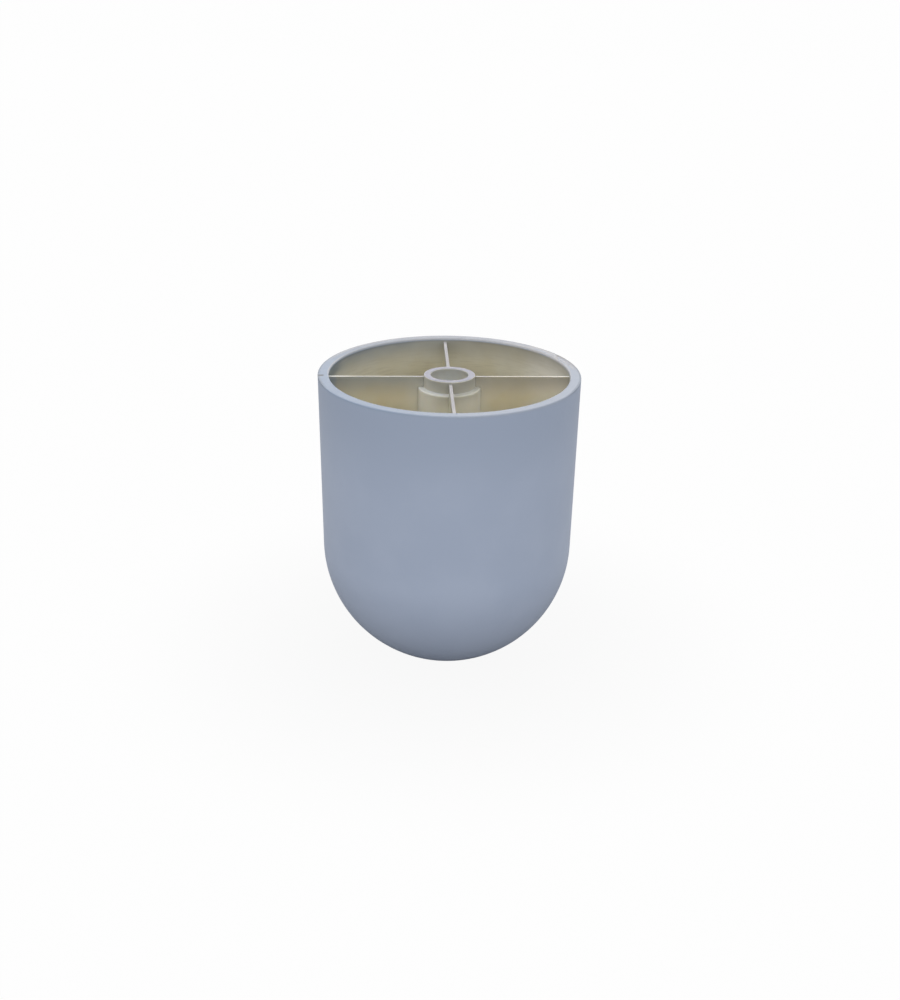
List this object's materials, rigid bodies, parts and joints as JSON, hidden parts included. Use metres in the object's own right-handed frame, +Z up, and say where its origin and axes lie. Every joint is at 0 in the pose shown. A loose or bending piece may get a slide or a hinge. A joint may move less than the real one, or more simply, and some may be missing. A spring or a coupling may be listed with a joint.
{
  "type": "plant pot foot",
  "caption": "Round-bottomed hollow foot for a plant pot: a tapered cup, open at the top, with cross ribs and a bored centre boss.",
  "frame": {"origin": "middle of the flat base, on the surface that the foot stands on", "axes": "+Z up along the foot's axis, open end up; the ribs lie along X and Y, and -Y is the side that the picture shows"},
  "size_m": [0.06, 0.06, 0.068],
  "materials": {
    "painted_plastic": "satin blue-grey paint outside, bare cream plastic inside",
    "bare_plastic": "unpainted cream plastic with a light mist of paint on its top edges",
    "insert_brass": "plain brass"
  },
  "bodies": {
    "root": {"outer_cup": "painted_plastic", "boss_collar": "bare_plastic", "boss_sleeve": "bare_plastic", "threaded_insert": "insert_brass", "rib_front": "bare_plastic", "rib_rear": "bare_plastic", "rib_left": "bare_plastic", "rib_right": "bare_plastic"}
  },
  "joints": []
}
